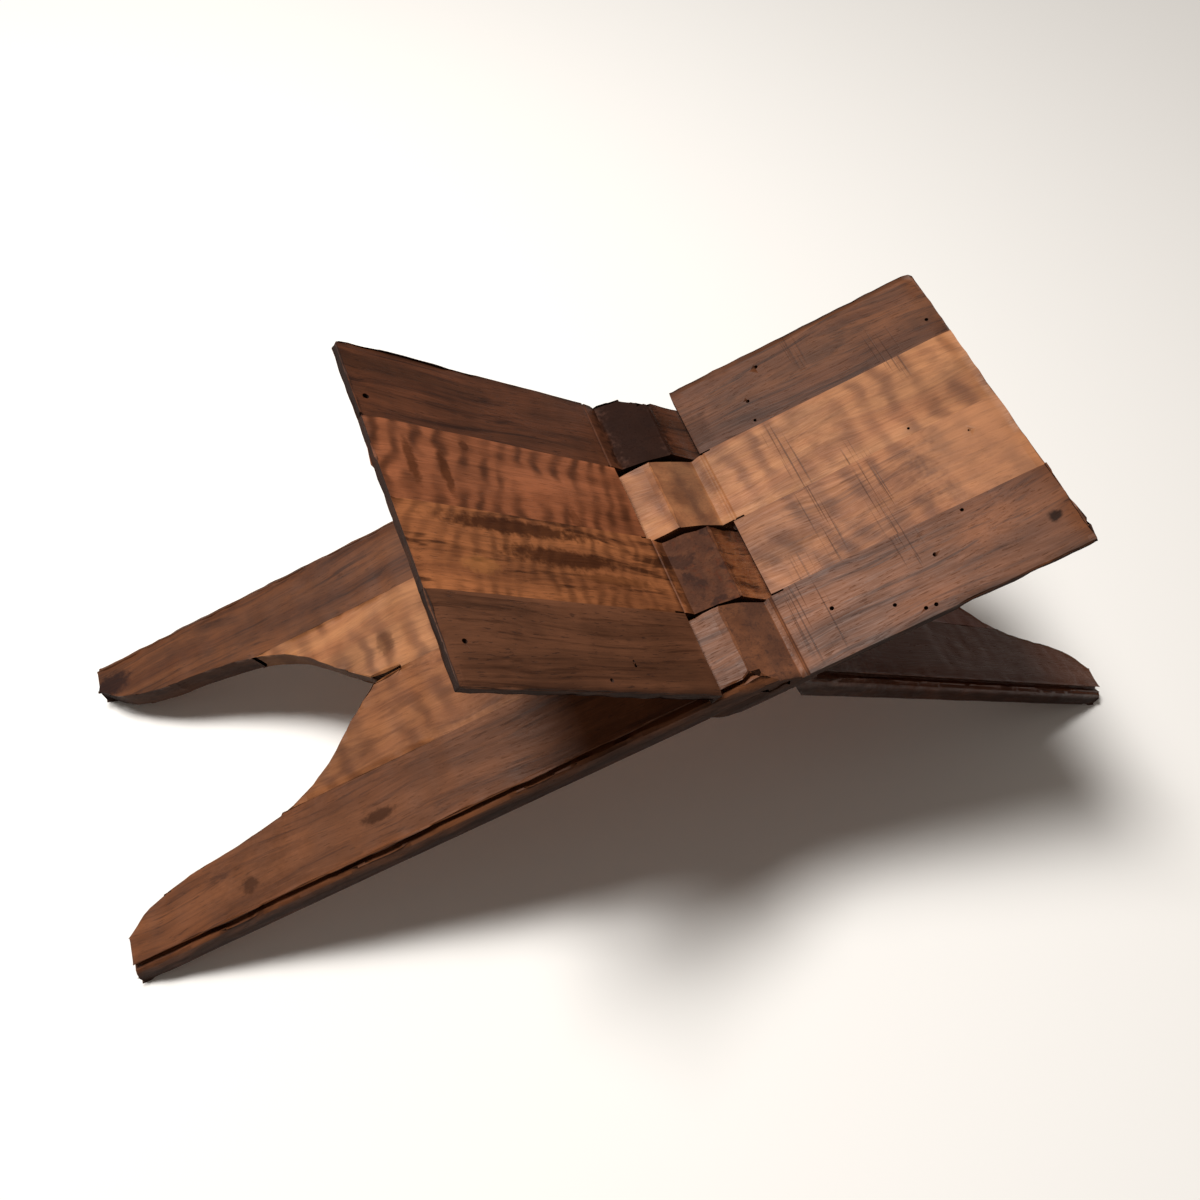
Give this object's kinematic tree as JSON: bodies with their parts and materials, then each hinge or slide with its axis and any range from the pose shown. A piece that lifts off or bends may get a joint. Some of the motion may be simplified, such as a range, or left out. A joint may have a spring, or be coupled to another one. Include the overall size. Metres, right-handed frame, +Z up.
{
  "type": "folding book stand (rehal)",
  "caption": "Folding X-shaped wooden book rest: two slotted boards cross at interlocking knuckles, with plain leaves above and keel-arched legs below.",
  "frame": {"origin": "on the floor, under the middle of the hinge, at the centre of the stand's footprint", "axes": "+Z up, Y along the hinge axis, +X towards the leaf of the right board"},
  "size_m": [0.5922, 0.18, 0.2285],
  "materials": {
    "walnut_heart": "hand-planed walnut heartwood, oiled, satin",
    "walnut_figured": "sawn curly walnut, oiled, satin"
  },
  "bodies": {
    "right_board": {"right_stave1_leaf": "walnut_heart", "right_stave1_leg": "walnut_heart", "right_stave2_through": "walnut_figured", "right_stave3_leaf": "walnut_figured", "right_stave3_leg": "walnut_figured", "right_stave4_through": "walnut_heart"},
    "left_board": {"left_stave1_through": "walnut_heart", "left_stave2_leaf": "walnut_figured", "left_stave2_leg": "walnut_figured", "left_stave3_through": "walnut_figured", "left_stave4_leaf": "walnut_heart", "left_stave4_leg": "walnut_heart"}
  },
  "joints": [
    {"name": "hinge", "type": "hinge", "parent": "right_board", "child": "left_board", "pos_m": [0, 0, 0.15], "axis": [0, 1, 0], "range_deg": [0, 125]}
  ]
}
